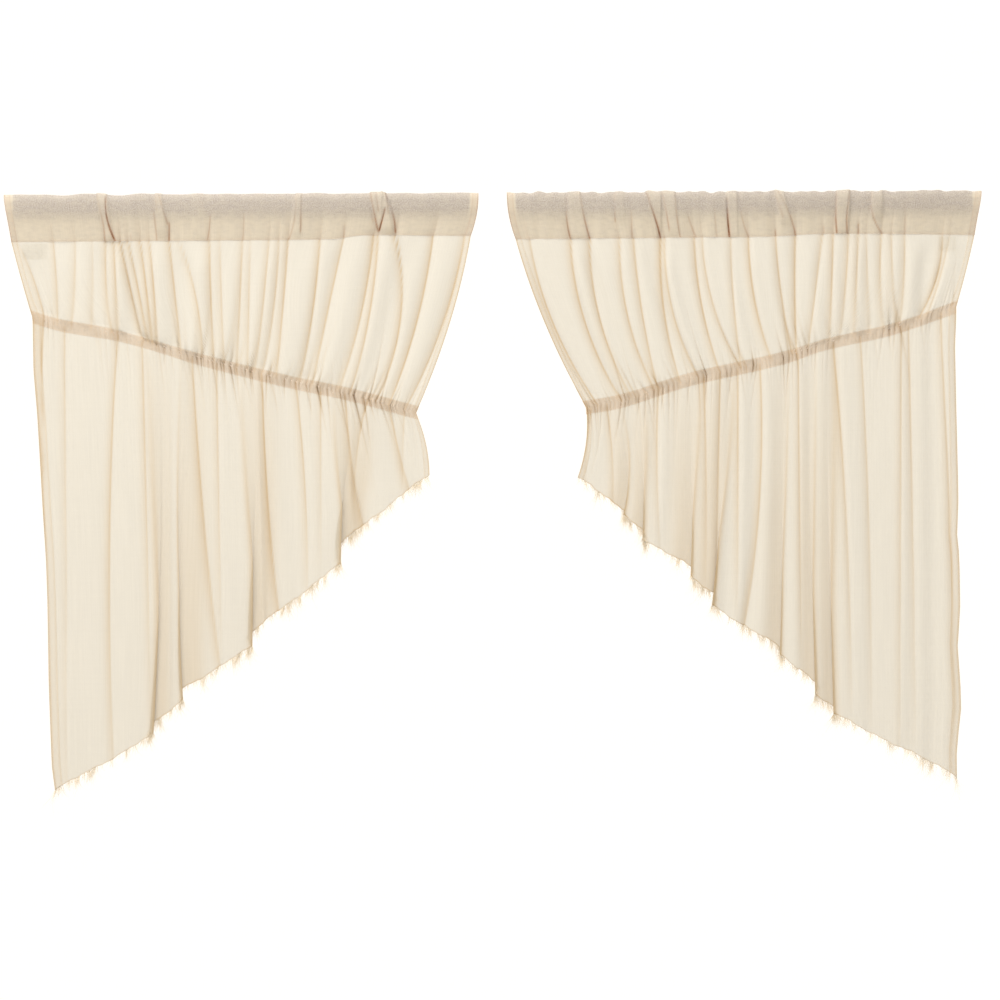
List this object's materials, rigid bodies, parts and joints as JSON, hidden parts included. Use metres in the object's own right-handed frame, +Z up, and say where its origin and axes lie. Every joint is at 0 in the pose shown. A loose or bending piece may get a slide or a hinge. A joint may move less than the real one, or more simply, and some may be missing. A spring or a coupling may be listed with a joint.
{
  "type": "swag curtain pair",
  "caption": "Mirrored swag curtains in sheer unbleached cotton, each with a rod pocket, a slanting gathered band and a frayed hem that rises towards the middle.",
  "frame": {"origin": "the middle of the left curtain's top edge, on the fold of its rod pocket", "axes": "+X to the right along the rod line, +Y away from the viewer, +Z up"},
  "size_m": [1.477, 0.0442, 0.9238],
  "materials": {
    "gauze": "sheer plain-woven unbleached cotton, single layer",
    "pocket": "the same cotton, two layers deep",
    "band": "cotton casing strip, finely gathered",
    "fringe": "loose frayed cotton threads",
    "label": "blank woven tape"
  },
  "bodies": {
    "root": {"left_panel": "gauze", "left_heading": "pocket", "left_band": "band", "left_label": "label", "left_fringe": "fringe", "right_panel": "gauze", "right_heading": "pocket", "right_band": "band", "right_label": "label", "right_fringe": "fringe"}
  },
  "joints": []
}
